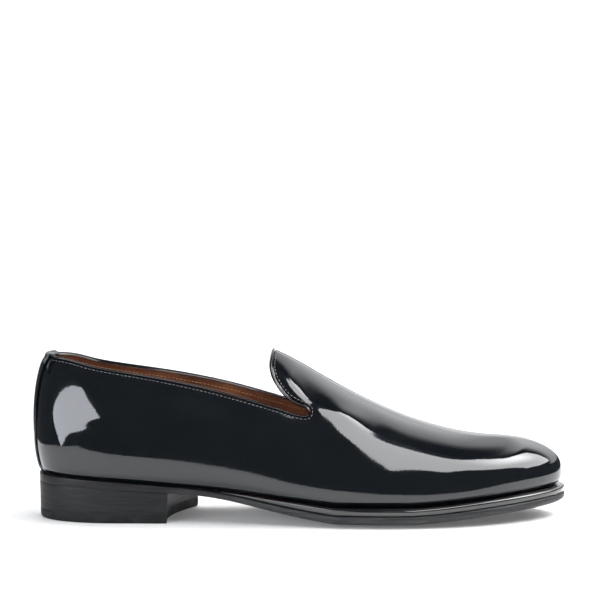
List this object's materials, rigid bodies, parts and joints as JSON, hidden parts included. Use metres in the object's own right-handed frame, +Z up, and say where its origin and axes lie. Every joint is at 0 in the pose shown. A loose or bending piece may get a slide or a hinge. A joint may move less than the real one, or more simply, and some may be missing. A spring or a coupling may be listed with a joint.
{
  "type": "slipper loafer",
  "caption": "Slip-on shoe for the right foot: hollow patent upper with a high tongue and bound topline on a welted sole and stacked heel, to be worn or displayed.",
  "frame": {"origin": "on the floor, under the middle of the shoe's length and width", "axes": "+X to the toe, +Y to the inner (medial) side of the right foot, +Z up"},
  "size_m": [0.3025, 0.1032, 0.0953],
  "materials": {
    "patent_leather": "black patent, mirror gloss",
    "insole_leather": "russet brown, smooth",
    "sole_edge": "dark grey to black, waxed edge",
    "heel_leather": "dark grey stacked leather, satin",
    "heel_rubber": "dark, matt"
  },
  "bodies": {
    "root": {"upper": "patent_leather", "topline_binding": "patent_leather", "back_stay": "patent_leather", "insole": "insole_leather", "welt": "sole_edge", "outsole": "sole_edge", "heel_stack": "heel_leather", "heel_top_piece": "heel_rubber"}
  },
  "joints": []
}
